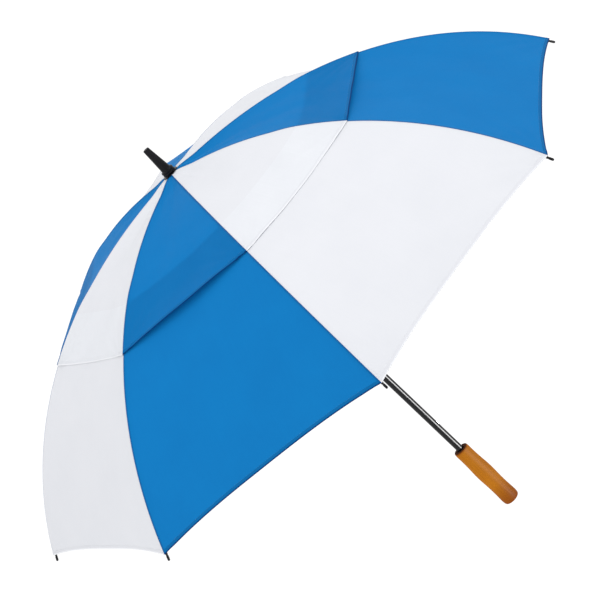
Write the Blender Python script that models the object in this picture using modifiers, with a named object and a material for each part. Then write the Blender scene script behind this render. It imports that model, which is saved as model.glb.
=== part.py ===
"""A vented golf umbrella, open, standing on its handle.

+Z runs up the shaft from the flat end of the handle. Rib 1 lies over +X and the
others follow every 45 degrees. Metres.
"""

import math

import bmesh
import bpy

RIBS = 8
PITCH = 2 * math.pi / RIBS
MM = 0.001
GAP = 0.3 * MM

# Rib line: the slope below horizontal grows from the crown to the hem.
RIB_LENGTH = 762 * MM
CROWN_SLOPE = math.radians(1.37)
HEM_SLOPE = math.radians(57.97)
SLOPE_POWER = 1.2

# Fabric
APEX_Z = 905 * MM
FABRIC = 0.5 * MM
VENT_LIFT = 3 * MM
VENT_HEM = 404 * MM
VENT_HOLE = 9 * MM
LOWER_START = 304 * MM
SCALLOP = 12 * MM
SCALLOP_POWER = 3
SCALLOP_FROM = 580 * MM
PANEL_DIP = 8 * MM
PANEL_STEPS = 5
STATIONS = [
    s * MM for s in (60, 110, 160, 210, 256, 304, 344, 384, 430, 480, 530, 580, 630, 680, 720)
]

# Ribs and their fittings
ROD_RADIUS = 1.6 * MM
RIB_EYE_RADIUS = 2.4 * MM
RIB_EYE_HALF = 1.9 * MM
FITTING_RADIUS = 2.9 * MM
FABRIC_CLEARANCE = 1.2 * MM
ROD_DEPTH = FABRIC + FABRIC_CLEARANCE + FITTING_RADIUS
PIVOT_RADIUS = 14 * MM
STRUT_STATION = 368 * MM
STRUT_OFFSET = 8 * MM
FLEX_STATION = 380 * MM
SLEEVE_START = 354 * MM
SLEEVE_END = 374 * MM
INNER_ROD_END = 372.5 * MM
OUTER_ROD_START = 384 * MM
TONGUE_HALF = 1.2 * MM
EAR_HALF = 2.8 * MM
EAR_GAP_HALF = 1.5 * MM
EAR_REACH = 3 * MM
EAR_HEIGHT = 2.4 * MM
PIN_HALF = EAR_HALF - 0.4 * MM
PIN_RADIUS = 0.8 * MM
EYE_BORE = PIN_RADIUS + GAP
EYE_RADIUS = 2.2 * MM
CUT_HALF = 5 * MM
TIP_LENGTH = 12 * MM
TIP_SOCKET = 10 * MM
TIP_RADIUS = 2.3 * MM

# Struts
STRUT_HALF_WIDTH = 2 * MM
STRUT_DEPTH = 3.2 * MM
STRUT_WALL = 0.7 * MM
STRUT_END = 9 * MM
STRUT_CLOSED_END = 8 * MM
TONGUE_DEPTH = 1.3 * MM
TONGUE_OVERLAP = 2 * MM

# Shaft and what is on it
SHAFT_RADIUS = 7 * MM
SHAFT_WALL = 0.6 * MM
SHAFT_BOTTOM = 84 * MM
SHAFT_TOP = 928 * MM
BORE_RADIUS = SHAFT_RADIUS + GAP
CROWN_CORE = 11 * MM
CROWN_RADIUS = 17.5 * MM
CROWN_SLOT = 4.6 * MM
NOTCH_ABOVE = 5 * MM
NOTCH_BELOW = 8 * MM
WIRE_RADIUS = 0.6 * MM
RUNNER_ABOVE = 6 * MM
RUNNER_CROWN_BELOW = 6 * MM
RUNNER_BELOW = 53 * MM
RUNNER_LIP_HEIGHT = 6 * MM
RUNNER_SLEEVE = 11.0 * MM
RUNNER_LIP = 11.6 * MM
RUNNER_TRAVEL = 529.4 * MM
KEYWAY_DEPTH = 10.2 * MM
KEYWAY_WIDTH = 3.4 * MM
STOP_RADIUS = 1.2 * MM
STOP_PROUD = 1.8 * MM

# Catches in the shaft
CATCH_HALF = 1 * MM
CATCH_SLOT_HALF = 1.3 * MM
CATCH_NOSE = 2.8 * MM
CATCH_LENGTH = 30 * MM
CATCH_SLOT = 32 * MM
CATCH_LEAF = 1.4 * MM
CATCH_TURN = PITCH / 2
CLOSED_CATCH_BELOW = 16 * MM

# Ferrule and washer on top
WASHER_RADIUS = 16 * MM
WASHER_THICKNESS = 1.2 * MM
FERRULE_TOP = 968 * MM
COLLAR_RADIUS = 12.5 * MM
COLLAR_HEIGHT = 9 * MM

# Wooden handle, as (radius, height) in millimetres down its outside
HANDLE_TOP = 144 * MM
HANDLE_EDGE = [(14.2, 144), (15.2, 142.8)]
HANDLE_SWELL = [(15.6, 138), (15.5, 122), (16.0, 104), (16.9, 88), (17.1, 74), (16.6, 58)]
HANDLE_FOOT = [(16.2, 42), (16.4, 26), (16.9, 12), (16.5, 5), (14.8, 1.5), (12.6, 0)]


def slope(s):
    """Angle of the rib line below horizontal, s along it from the axis."""
    part = min(max(s, 0) / RIB_LENGTH, 1)
    return CROWN_SLOPE + (HEM_SLOPE - CROWN_SLOPE) * part**SLOPE_POWER


def rib_line(s, lift=0.0, steps=240):
    """(radius, z) of a line lifted from the top of the lower canopy, at s."""
    ds = s / steps
    radius = sum(math.cos(slope((i + 0.5) * ds)) for i in range(steps)) * ds
    drop = sum(math.sin(slope((i + 0.5) * ds)) for i in range(steps)) * ds
    angle = slope(s)
    return radius + lift * math.sin(angle), APEX_Z - VENT_LIFT - drop + lift * math.cos(angle)


def rod_line(s, below=0.0):
    """(radius, z) of the middle of a rib, or of a point under it."""
    return rib_line(s, -ROD_DEPTH - below)


NOTCH_PIVOT = (PIVOT_RADIUS, rod_line(PIVOT_RADIUS)[1])
STRUT_PIVOT = rod_line(STRUT_STATION, STRUT_OFFSET)
FLEX_PIVOT = rod_line(FLEX_STATION)
# The strut is as long as the line from the notch to its pivot, so the runner sits as far
# below the pivot as the notch is above it.
RUNNER_PIVOT = (PIVOT_RADIUS, 2 * STRUT_PIVOT[1] - NOTCH_PIVOT[1])
RUNNER_TOP = RUNNER_PIVOT[1] + RUNNER_ABOVE
RUNNER_BOTTOM = RUNNER_PIVOT[1] - RUNNER_BELOW
STOP_Z = RUNNER_TOP + STOP_RADIUS + 2 * GAP
# The runner sits just above its catch when open; closed, it sits just below the other.
CATCH_FEET = {
    "open_catch": RUNNER_BOTTOM - GAP - CATCH_LENGTH,
    "closed_catch": RUNNER_TOP - RUNNER_TRAVEL + GAP - CLOSED_CATCH_BELOW,
}


def new_collection(name):
    made = bpy.data.collections.new(name)
    bpy.context.scene.collection.children.link(made)
    return made


def material(name, color, roughness, metallic=0.0):
    made = bpy.data.materials.new(name)
    made.use_nodes = True
    shader = made.node_tree.nodes["Principled BSDF"]
    shader.inputs["Base Color"].default_value = (*color, 1)
    shader.inputs["Roughness"].default_value = roughness
    shader.inputs["Metallic"].default_value = metallic
    made.diffuse_color = (*color, 1)
    return made


def add(name, mesh, collection):
    made = bpy.data.objects.new(name, mesh)
    collection.objects.link(made)
    return made


def cutter(obj):
    obj.hide_render = True
    obj.display_type = "WIRE"
    return obj


def mesh_from(bm, name):
    bmesh.ops.recalc_face_normals(bm, faces=bm.faces)
    mesh = bpy.data.meshes.new(name)
    bm.to_mesh(mesh)
    bm.free()
    return mesh


def boxes(name, bounds, turns=(0.0,)):
    """A helper mesh of boxes, each (low, high) repeated at each turn about Z."""
    bm = bmesh.new()
    for low, high in bounds:
        for turn in turns:
            verts = bmesh.ops.create_cube(bm, size=1)["verts"]
            for v in verts:
                x, y, z = (a + (b - a) * (c + 0.5) for a, b, c in zip(low, high, v.co))
                v.co = (
                    x * math.cos(turn) - y * math.sin(turn),
                    x * math.sin(turn) + y * math.cos(turn),
                    z,
                )
    return cutter(add(name, mesh_from(bm, name), HELPERS))


def cross_pin(name, centre, radius, half_width, sides=12):
    """A helper cylinder along Y, its middle at (x, z)."""
    bpy.ops.mesh.primitive_cylinder_add(
        vertices=sides,
        radius=radius,
        depth=2 * half_width,
        location=(centre[0], 0, centre[1]),
        rotation=(math.pi / 2, 0, 0),
    )
    made = bpy.context.object
    made.name = name
    for owner in list(made.users_collection):
        owner.objects.unlink(made)
    HELPERS.objects.link(made)
    return cutter(made)


def rod(name, points, radius, resolution=2):
    """A helper mesh of a round rod through points (x, z), with closed ends."""
    curve = bpy.data.curves.new(name, "CURVE")
    curve.dimensions = "3D"
    curve.bevel_depth = radius
    curve.bevel_resolution = resolution
    curve.use_fill_caps = True
    spline = curve.splines.new("POLY")
    spline.points.add(len(points) - 1)
    for point, (x, z) in zip(spline.points, points):
        point.co = (x, 0, z, 1)
    tube = add(name + "_curve", curve, HELPERS)
    bpy.context.view_layer.update()
    seen = tube.evaluated_get(bpy.context.evaluated_depsgraph_get())
    mesh = bpy.data.meshes.new_from_object(seen)
    bpy.data.objects.remove(tube)
    bm = bmesh.new()
    bm.from_mesh(mesh)
    bmesh.ops.remove_doubles(bm, verts=bm.verts, dist=0.01 * MM)
    bpy.data.meshes.remove(mesh)
    return cutter(add(name, mesh_from(bm, name), HELPERS))


def combine(obj, others, operation):
    for other in others:
        change = obj.modifiers.new(other.name, "BOOLEAN")
        change.operation = operation
        change.solver = "EXACT"
        change.object = other
    return obj


def finished_mesh(obj, name):
    """The shape of obj with its modifiers, as a mesh that copies can share."""
    bpy.context.view_layer.update()
    seen = obj.evaluated_get(bpy.context.evaluated_depsgraph_get())
    mesh = bpy.data.meshes.new_from_object(seen)
    mesh.name = name
    smooth(mesh)
    for modifier in list(obj.modifiers):
        if modifier.type == "BOOLEAN":
            bpy.data.objects.remove(modifier.object)
    bpy.data.objects.remove(obj)
    return mesh


def smooth(mesh, sharp=40):
    mesh.shade_smooth()
    mesh.set_sharp_from_angle(angle=math.radians(sharp))


def turned(name, profile, steps, finish, closed=False):
    """A shape turned about Z from (radius, z) points, running down the outside."""
    mesh = bpy.data.meshes.new(name)
    count = len(profile)
    edges = [(i, (i + 1) % count) for i in range(count if closed else count - 1)]
    mesh.from_pydata([(r, 0, z) for r, z in profile], edges, [])
    made = add(name, mesh, PARTS)
    screw = made.modifiers.new("turn", "SCREW")
    screw.steps = steps
    screw.render_steps = steps
    screw.use_merge_vertices = True
    screw.merge_threshold = 0.01 * MM
    screw.use_smooth_shade = True
    made.data.materials.append(finish)
    return made


def put(obj, point=(0.0, 0.0), turn=0.0, tilt=0.0):
    """Places an object at (radius, z) in the plane of the rib at that turn."""
    obj.location = (point[0] * math.cos(turn), point[0] * math.sin(turn), point[1])
    obj.rotation_euler = (0, tilt, turn)
    return obj


def moved(points, origin):
    return [(x - origin[0], z - origin[1]) for x, z in points]


def shared_copies(name, mesh, point, finish, tilt=0.0):
    mesh.materials.clear()
    mesh.materials.append(finish)
    for i in range(RIBS):
        put(add(f"{name}_{i + 1}", mesh, PARTS), point, i * PITCH, tilt)


def make_shaft():
    inner = SHAFT_RADIUS - SHAFT_WALL
    profile = [
        (SHAFT_RADIUS, SHAFT_TOP),
        (SHAFT_RADIUS, SHAFT_BOTTOM),
        (inner, SHAFT_BOTTOM),
        (inner, SHAFT_TOP),
    ]
    shaft = turned("shaft", profile, 24, STEEL, closed=True)
    slots = [
        ((0, -CATCH_SLOT_HALF, foot - MM), (2 * SHAFT_RADIUS, CATCH_SLOT_HALF, foot + CATCH_SLOT))
        for foot in CATCH_FEET.values()
    ]
    combine(shaft, [boxes("catch_slots", slots, (CATCH_TURN,))], "DIFFERENCE")
    stop = cross_pin("stop_hole", (0, STOP_Z), STOP_RADIUS + GAP, 2 * SHAFT_RADIUS)
    stop.rotation_euler = (math.pi / 2, 0, CATCH_TURN)
    combine(shaft, [stop], "DIFFERENCE")


def make_catches():
    """Leaf catches whose noses stand out of the shaft, one below the runner when the
    umbrella is open and one above it when it is closed."""
    outer = SHAFT_RADIUS + CATCH_NOSE
    rest = SHAFT_RADIUS - SHAFT_WALL - CATCH_LEAF
    inside = rest - CATCH_LEAF
    end = CATCH_LENGTH - MM
    noses = {
        "open_catch": [(rest, end - 14 * MM), (outer, end - 2 * MM), (outer, end)],
        "closed_catch": [
            (rest, end - 13 * MM),
            (outer, end - 12 * MM),
            (outer, end - 10 * MM),
            (rest, end),
        ],
    }
    for name, foot in CATCH_FEET.items():
        outline = [(rest, 0), *noses[name], (inside, end), (inside, 0)]
        bm = bmesh.new()
        face = bm.faces.new([bm.verts.new((x, -CATCH_HALF, z)) for x, z in outline])
        wide = bmesh.ops.extrude_face_region(bm, geom=[face])["geom"]
        for v in [g for g in wide if isinstance(g, bmesh.types.BMVert)]:
            v.co.y = CATCH_HALF
        made = add(name, mesh_from(bm, name), PARTS)
        made.data.materials.append(SPRING_STEEL)
        made.location = (0, 0, foot)
        made.rotation_euler = (0, 0, CATCH_TURN)


def make_stop():
    made = cross_pin("runner_stop", (0, STOP_Z), STOP_RADIUS, SHAFT_RADIUS + STOP_PROUD)
    HELPERS.objects.unlink(made)
    PARTS.objects.link(made)
    made.hide_render = False
    made.display_type = "TEXTURED"
    made.rotation_euler = (math.pi / 2, 0, CATCH_TURN)
    made.data.materials.append(SPRING_STEEL)
    smooth(made.data)


def make_handle():
    """Turned wood: slim under its top edge, full in the middle, flat at the end."""
    bore_end = SHAFT_BOTTOM - GAP
    profile = [(0, bore_end), (BORE_RADIUS, bore_end), (BORE_RADIUS, HANDLE_TOP)]
    outside = HANDLE_EDGE + HANDLE_SWELL + HANDLE_FOOT
    profile += [(r * MM, z * MM) for r, z in outside]
    profile += [(0, 0)]
    turned("handle", profile, 24, WOOD)


def make_ferrule():
    base = APEX_Z + 2 * GAP + WASHER_THICKNESS
    rim = base + GAP
    bore_end = SHAFT_TOP + GAP
    top = FERRULE_TOP
    shoulder = rim + COLLAR_HEIGHT
    profile = [(0, top), (5.2 * MM, top), (6 * MM, top - 0.8 * MM)]
    profile += [(9.4 * MM, shoulder + 1.5 * MM), (10.6 * MM, shoulder)]
    profile += [(11.8 * MM, shoulder - 0.6 * MM), (COLLAR_RADIUS, shoulder - 2 * MM)]
    profile += [(COLLAR_RADIUS, rim + MM), (COLLAR_RADIUS - 0.8 * MM, rim)]
    profile += [(BORE_RADIUS, rim), (BORE_RADIUS, bore_end), (0, bore_end)]
    turned("ferrule", profile, 24, BLACK)

    low = APEX_Z + GAP
    profile = [(WASHER_RADIUS - 0.5 * MM, low + WASHER_THICKNESS), (WASHER_RADIUS, low + 0.6 * MM)]
    profile += [(WASHER_RADIUS - 0.3 * MM, low), (BORE_RADIUS, low)]
    profile += [(BORE_RADIUS, low + WASHER_THICKNESS)]
    turned("top_washer", profile, 24, BLACK, closed=True)


def crown_slots(name, low, high):
    """A cutter for the slots that the ribs or struts swing in."""
    slot = ((CROWN_CORE, -CROWN_SLOT / 2, low), (2 * CROWN_RADIUS, CROWN_SLOT / 2, high))
    return boxes(name, [slot], [i * PITCH for i in range(RIBS)])


def make_notch():
    """The crown fixed on the shaft, with a groove that holds the wire of the ribs."""
    z = NOTCH_PIVOT[1]
    top, bottom = z + NOTCH_ABOVE, z - NOTCH_BELOW
    groove_in = PIVOT_RADIUS - WIRE_RADIUS - GAP
    half = WIRE_RADIUS + GAP
    profile = [(CROWN_RADIUS - MM, top), (CROWN_RADIUS, top - MM), (CROWN_RADIUS, z + half)]
    profile += [(groove_in, z + half), (groove_in, z - half), (CROWN_RADIUS, z - half)]
    profile += [(CROWN_RADIUS, bottom + MM), (CROWN_RADIUS - MM, bottom)]
    profile += [(BORE_RADIUS, bottom), (BORE_RADIUS, top)]
    notch = turned("top_notch", profile, 32, BLACK, closed=True)
    combine(notch, [crown_slots("notch_slots", bottom - MM, top + MM)], "DIFFERENCE")

    bpy.ops.mesh.primitive_torus_add(
        major_radius=PIVOT_RADIUS,
        minor_radius=WIRE_RADIUS,
        major_segments=32,
        minor_segments=6,
        location=(0, 0, z),
    )
    wire = bpy.context.object
    wire.name = "notch_wire"
    for owner in list(wire.users_collection):
        owner.objects.unlink(wire)
    PARTS.objects.link(wire)
    wire.data.materials.append(SPRING_STEEL)
    wire.data.shade_smooth()


def make_runner():
    """The slider: a slotted crown over a sleeve, with a keyway that clears the catches."""
    z = RUNNER_PIVOT[1]
    crown_low = z - RUNNER_CROWN_BELOW
    profile = [(CROWN_RADIUS - MM, RUNNER_TOP), (CROWN_RADIUS, RUNNER_TOP - MM)]
    profile += [(CROWN_RADIUS, crown_low), (RUNNER_SLEEVE, crown_low - 5 * MM)]
    lip_top = RUNNER_BOTTOM + RUNNER_LIP_HEIGHT
    profile += [(RUNNER_SLEEVE, lip_top), (RUNNER_LIP, lip_top - 2 * MM)]
    profile += [(RUNNER_LIP, RUNNER_BOTTOM + MM), (RUNNER_LIP - MM, RUNNER_BOTTOM)]
    profile += [(BORE_RADIUS, RUNNER_BOTTOM), (BORE_RADIUS, RUNNER_TOP)]
    runner = turned("runner", profile, 32, BLACK, closed=True)
    slots = crown_slots("runner_slots", crown_low - 8 * MM, RUNNER_TOP + MM)
    keyway = boxes(
        "keyway",
        [
            (
                (0, -KEYWAY_WIDTH / 2, RUNNER_BOTTOM - MM),
                (KEYWAY_DEPTH, KEYWAY_WIDTH / 2, RUNNER_TOP + MM),
            )
        ],
        (CATCH_TURN,),
    )
    combine(runner, [slots, keyway], "DIFFERENCE")


def make_ribs():
    """Each rib is an inner rod from the notch and an outer rod that bends on from it."""
    inner = [rod_line(s) for s in [PIVOT_RADIUS, *STATIONS[:7], SLEEVE_START, INNER_ROD_END]]
    body = rod("rib_inner_rod", moved(inner, NOTCH_PIVOT), ROD_RADIUS)
    combine(body, [cross_pin("rib_eye", (0, 0), RIB_EYE_RADIUS, RIB_EYE_HALF)], "UNION")
    combine(body, [cross_pin("rib_hole", (0, 0), WIRE_RADIUS + GAP, CUT_HALF)], "DIFFERENCE")
    shared_copies("rib_inner", finished_mesh(body, "rib_inner"), NOTCH_PIVOT, FIBREGLASS)

    outer = [rod_line(s) for s in [OUTER_ROD_START, *STATIONS[8:], RIB_LENGTH - 1.5 * MM]]
    body = rod("rib_outer_rod", moved(outer, FLEX_PIVOT), ROD_RADIUS)
    angle = slope(FLEX_STATION)
    tongue = boxes(
        "rib_tongue",
        [((0, -TONGUE_HALF, -1.4 * MM), (6 * MM, TONGUE_HALF, 1.4 * MM))],
    )
    tongue.rotation_euler = (0, angle, 0)
    combine(body, [tongue, cross_pin("flex_eye", (0, 0), EYE_RADIUS, TONGUE_HALF)], "UNION")
    combine(body, [cross_pin("flex_hole", (0, 0), EYE_BORE, CUT_HALF)], "DIFFERENCE")
    shared_copies("rib_outer", finished_mesh(body, "rib_outer"), FLEX_PIVOT, FIBREGLASS)


def make_rib_joints():
    """Brackets on the ribs: a sleeve, ears and a pin for the strut, and ears and a pin
    for the outer rod. Built level about the flex pivot, then tilted to the rib."""
    angle = slope(FLEX_STATION)
    start = SLEEVE_START - FLEX_STATION
    end = SLEEVE_END - FLEX_STATION
    rise = -0.5 * (slope(FLEX_STATION) - slope(SLEEVE_START)) * start
    sleeve = rod("sleeve", [(start, -rise), (end, 0)], FITTING_RADIUS, 3)
    strut_at = (
        (STRUT_PIVOT[0] - FLEX_PIVOT[0]) * math.cos(angle)
        - (STRUT_PIVOT[1] - FLEX_PIVOT[1]) * math.sin(angle),
        (STRUT_PIVOT[0] - FLEX_PIVOT[0]) * math.sin(angle)
        + (STRUT_PIVOT[1] - FLEX_PIVOT[1]) * math.cos(angle),
    )
    low = strut_at[1] - EYE_RADIUS
    near, far = strut_at[0] - EAR_REACH, strut_at[0] + EAR_REACH
    block = boxes("strut_ears", [((near, -EAR_HALF, low), (far, EAR_HALF, -MM))])
    arm = boxes(
        "flex_ears",
        [((end - EAR_REACH, -EAR_HALF, -EAR_HEIGHT), (2.6 * MM, EAR_HALF, EAR_HEIGHT))],
    )
    combine(sleeve, [block, arm], "UNION")
    bore = rod("sleeve_bore", [(start - MM, -rise), (end - MM, 0)], ROD_RADIUS + GAP)
    gap_low = (near - CUT_HALF, -EAR_GAP_HALF, low - MM)
    gap_high = (far + CUT_HALF, EAR_GAP_HALF, -FITTING_RADIUS - 0.6 * MM)
    strut_gap = boxes("strut_gap", [(gap_low, gap_high)])
    flex_gap = boxes(
        "flex_gap",
        [((end + 0.5 * MM, -EAR_GAP_HALF, -CUT_HALF), (9 * MM, EAR_GAP_HALF, CUT_HALF))],
    )
    combine(sleeve, [bore, strut_gap, flex_gap], "DIFFERENCE")
    pins = [
        cross_pin("strut_pin", strut_at, PIN_RADIUS, PIN_HALF, 8),
        cross_pin("flex_pin", (0, 0), PIN_RADIUS, PIN_HALF, 8),
    ]
    combine(sleeve, pins, "UNION")
    mesh = finished_mesh(sleeve, "rib_joint")
    shared_copies("rib_joint", mesh, FLEX_PIVOT, BLACK, angle)


def make_struts():
    """Folded steel struts between the brackets and the runner, open underneath."""
    run = (STRUT_PIVOT[0] - RUNNER_PIVOT[0], STRUT_PIVOT[1] - RUNNER_PIVOT[1])
    length = math.hypot(*run)
    half = STRUT_HALF_WIDTH
    top, bottom = STRUT_DEPTH / 2, -STRUT_DEPTH / 2
    ends = (-length + STRUT_END, -STRUT_END)
    body = boxes("strut", [((ends[0], -half, bottom), (ends[1], half, top))])
    inside = half - STRUT_WALL
    groove_low = (ends[0] + STRUT_CLOSED_END, -inside, bottom - MM)
    groove_high = (ends[1] - STRUT_CLOSED_END, inside, top - STRUT_WALL)
    groove = boxes("strut_groove", [(groove_low, groove_high)])
    combine(body, [groove], "DIFFERENCE")
    for i, x in enumerate((0.0, -length)):
        inward = -1 if x == 0 else 1
        near, far = sorted((x, x + inward * (STRUT_END + TONGUE_OVERLAP)))
        tongue = boxes(
            f"strut_tongue_{i}",
            [((near, -TONGUE_HALF, -TONGUE_DEPTH), (far, TONGUE_HALF, TONGUE_DEPTH))],
        )
        eye = cross_pin(f"strut_eye_{i}", (x, 0), EYE_RADIUS, TONGUE_HALF)
        combine(body, [tongue, eye], "UNION")
        hole = cross_pin(f"strut_hole_{i}", (x, 0), EYE_BORE, CUT_HALF)
        combine(body, [hole], "DIFFERENCE")
    tilt = -math.atan2(run[1], run[0])
    shared_copies("strut", finished_mesh(body, "strut"), STRUT_PIVOT, STEEL, tilt)


def make_tips():
    """Caps on the ends of the ribs, with the corner of the fabric sewn to each."""
    bore = ROD_RADIUS + GAP
    socket = -TIP_SOCKET
    profile = [(0, TIP_LENGTH), (1.5 * MM, TIP_LENGTH - 0.3 * MM)]
    profile += [(TIP_RADIUS, TIP_LENGTH - 1.6 * MM), (TIP_RADIUS, socket), (bore, socket)]
    profile += [(bore, -MM), (0, -MM)]
    tip = turned("rib_tip", profile, 12, BLACK)
    mesh = finished_mesh(tip, "rib_tip")
    shared_copies("rib_tip", mesh, rod_line(RIB_LENGTH), BLACK, math.pi / 2 + HEM_SLOPE)


def fabric_point(s, across, turn, lift, scallop, dip):
    """A point of a panel: across runs from -1 at one rib to 1 at the next."""
    share = 1 - across * across
    if scallop:
        ramp = max(0.0, (s - SCALLOP_FROM) / (RIB_LENGTH - SCALLOP_FROM))
        s -= scallop * (1 - abs(across) ** SCALLOP_POWER) * ramp
    sag = dip * share * math.sin(math.pi * min(s / RIB_LENGTH, 1))
    radius, z = rib_line(s, lift - sag)
    swing = across * PITCH / 2
    radius *= math.cos(PITCH / 2) / math.cos(swing)
    angle = turn + PITCH / 2 + swing
    return radius * math.cos(angle), radius * math.sin(angle), z


def make_canopy(name, stations, lift, scallop, dip, finish):
    """A thin shell of eight panels, straight from rib to rib, with a hole at the middle."""
    bm = bmesh.new()
    rings = []
    for s in stations:
        ring = []
        for panel in range(RIBS):
            for step in range(PANEL_STEPS):
                across = 2 * step / PANEL_STEPS - 1
                point = fabric_point(s, across, panel * PITCH, lift, scallop, dip)
                ring.append(bm.verts.new(point))
        rings.append(ring)
    count = RIBS * PANEL_STEPS
    for upper, lower in zip(rings, rings[1:]):
        for i in range(count):
            j = (i + 1) % count
            bm.faces.new((upper[i], lower[i], lower[j], upper[j]))
    mesh = bpy.data.meshes.new(name)
    bm.to_mesh(mesh)
    bm.free()
    mesh.shade_smooth()
    made = add(name, mesh, PARTS)
    shell = made.modifiers.new("thickness", "SOLIDIFY")
    shell.thickness = FABRIC
    shell.offset = -1
    shell.use_even_offset = True
    mesh.materials.append(finish)


for old in list(bpy.data.objects):
    bpy.data.objects.remove(old)
PARTS = new_collection("golf_umbrella")
HELPERS = new_collection("cutters")

STEEL = material("black_enamel", (0.012, 0.012, 0.014), 0.22)
SPRING_STEEL = material("spring_steel", (0.55, 0.55, 0.56), 0.3, 1.0)
BLACK = material("black_plastic", (0.014, 0.014, 0.016), 0.38)
FIBREGLASS = material("fibreglass", (0.02, 0.02, 0.022), 0.3)
WOOD = material("varnished_wood", (0.52, 0.2, 0.05), 0.28)
BLUE = material("blue_fabric", (0.012, 0.22, 0.58), 0.6)
WHITE = material("white_fabric", (0.86, 0.87, 0.9), 0.6)

make_shaft()
make_catches()
make_stop()
make_handle()
make_ferrule()
make_notch()
make_runner()
make_ribs()
make_rib_joints()
make_struts()
make_tips()
LOWER_STATIONS = [s for s in STATIONS if s >= LOWER_START] + [RIB_LENGTH]
VENT_STATIONS = [VENT_HOLE] + [s for s in STATIONS if s < VENT_HEM] + [VENT_HEM]
make_canopy("canopy_lower", LOWER_STATIONS, 0.0, SCALLOP, PANEL_DIP, WHITE)
make_canopy("canopy_vent", VENT_STATIONS, VENT_LIFT, 0.0, 0.0, BLUE)
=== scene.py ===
"""Looks for a vented golf umbrella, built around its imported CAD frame."""

import math

import bpy
import numpy as np
from mathutils import Matrix, Vector


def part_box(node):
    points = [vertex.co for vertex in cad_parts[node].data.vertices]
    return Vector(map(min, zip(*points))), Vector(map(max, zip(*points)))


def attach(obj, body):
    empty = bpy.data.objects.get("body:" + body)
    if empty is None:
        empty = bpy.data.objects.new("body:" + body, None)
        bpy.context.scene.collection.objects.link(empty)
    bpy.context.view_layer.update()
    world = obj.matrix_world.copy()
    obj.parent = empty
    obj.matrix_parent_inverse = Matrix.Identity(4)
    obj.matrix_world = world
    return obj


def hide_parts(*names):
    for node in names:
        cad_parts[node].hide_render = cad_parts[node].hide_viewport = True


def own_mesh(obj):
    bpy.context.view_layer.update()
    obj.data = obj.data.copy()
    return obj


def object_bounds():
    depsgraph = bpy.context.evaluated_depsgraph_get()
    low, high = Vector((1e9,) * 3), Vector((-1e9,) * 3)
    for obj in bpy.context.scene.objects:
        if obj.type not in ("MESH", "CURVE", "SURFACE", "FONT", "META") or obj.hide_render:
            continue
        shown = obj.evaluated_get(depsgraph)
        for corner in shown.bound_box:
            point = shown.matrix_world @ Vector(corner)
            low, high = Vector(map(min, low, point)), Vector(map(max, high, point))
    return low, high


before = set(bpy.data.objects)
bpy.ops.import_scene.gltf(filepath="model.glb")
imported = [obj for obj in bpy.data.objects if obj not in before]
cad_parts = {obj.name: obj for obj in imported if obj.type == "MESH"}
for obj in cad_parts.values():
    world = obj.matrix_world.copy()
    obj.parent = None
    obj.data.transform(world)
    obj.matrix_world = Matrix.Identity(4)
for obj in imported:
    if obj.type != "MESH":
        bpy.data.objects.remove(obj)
CAD_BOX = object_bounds()

MM = 0.001
RIBS = 8
PITCH = 2 * math.pi / RIBS
GAP = 0.3 * MM

# Rib line, as in the CAD: the slope below horizontal grows from the crown to the hem.
RIB_LENGTH = 762 * MM
CROWN_SLOPE = math.radians(1.37)
HEM_SLOPE = math.radians(57.97)
SLOPE_POWER = 1.2
APEX_Z = 905 * MM

# Fabric
VENT_LIFT = 3 * MM
VENT_HEM = 404 * MM
LOWER_START = 304 * MM
PANEL_DIP = 8 * MM
SCALLOP = 12 * MM
SCALLOP_POWER = 3
SCALLOP_FROM = 580 * MM
HEM_WIDTH = 9 * MM
SEAM_HALF = 3.4 * MM
SEAM_HEIGHT = 0.5 * MM
SEAM_GROOVE = 0.45 * MM
CAP_SINK = 3.4 * MM
CAP_CLIMB = 2.0 * MM
CAP_SAG = 4.5 * MM
SLACK = 0.4 * MM
CORNER_FOLD = 1.1 * MM
SEWN_FROM_RIB = 2.0 * MM
SEWN_FROM_HEM = 7.6 * MM
STITCH = 2.3 * MM
STITCH_PITCH = 3.3 * MM

# Ribs and their fittings
ROD_DEPTH = 4.6 * MM
ROD_RADIUS = 1.6 * MM
PIVOT_RADIUS = 14 * MM
STRUT_STATION = 368 * MM
STRUT_OFFSET = 8 * MM
FLEX_STATION = 380 * MM
SLEEVE_START = 354 * MM
SLEEVE_END = 374 * MM
SLEEVE_RADIUS = 2.9 * MM
EAR_HALF = 2.8 * MM
EAR_GAP_HALF = 1.5 * MM
TONGUE_HALF = 1.2 * MM
PIN_RADIUS = 0.8 * MM
EYE_RADIUS = 2.2 * MM
RIVET_HEAD = 1.5 * MM
PIN_HOLE = PIN_RADIUS + GAP
CUT_HALF = 5 * MM
EDGE = 0.2 * MM
TIE_STATIONS = {"rib_": (120, 215, 300), "rib_end_": (470, 560, 650, 722)}  # mm

# Shaft and what slides or sits on it
SHAFT_RADIUS = 7 * MM
SHAFT_WALL = 0.6 * MM
BORE_RADIUS = SHAFT_RADIUS + GAP
BORE_END = 83.7 * MM
CROWN_CORE = 11 * MM
CROWN_RADIUS = 17.5 * MM
CROWN_SLOT = 4.6 * MM
NOTCH_ABOVE = 5 * MM
NOTCH_BELOW = 8 * MM
WIRE_RADIUS = 0.6 * MM
GROOVE_HALF = WIRE_RADIUS + GAP
WASHER_RADIUS = 16 * MM
RUNNER_SLEEVE = 11.0 * MM
RUNNER_LIP = 11.6 * MM
RUNNER_CROWN_DEPTH = 6 * MM
GRIP_RINGS = 4
GRIP_PITCH = 4.5 * MM
GRIP_DEPTH = 0.35 * MM
KEYWAY_DEPTH = 10.2 * MM
KEYWAY_WIDTH = 3.4 * MM
CATCH_TURN = PITCH / 2
CATCH_SLOT_HALF = 1.3 * MM
STOP_RADIUS = 1.2 * MM
CATCHES = ("open_catch", "closed_catch")


# -------- the rib line


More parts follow.
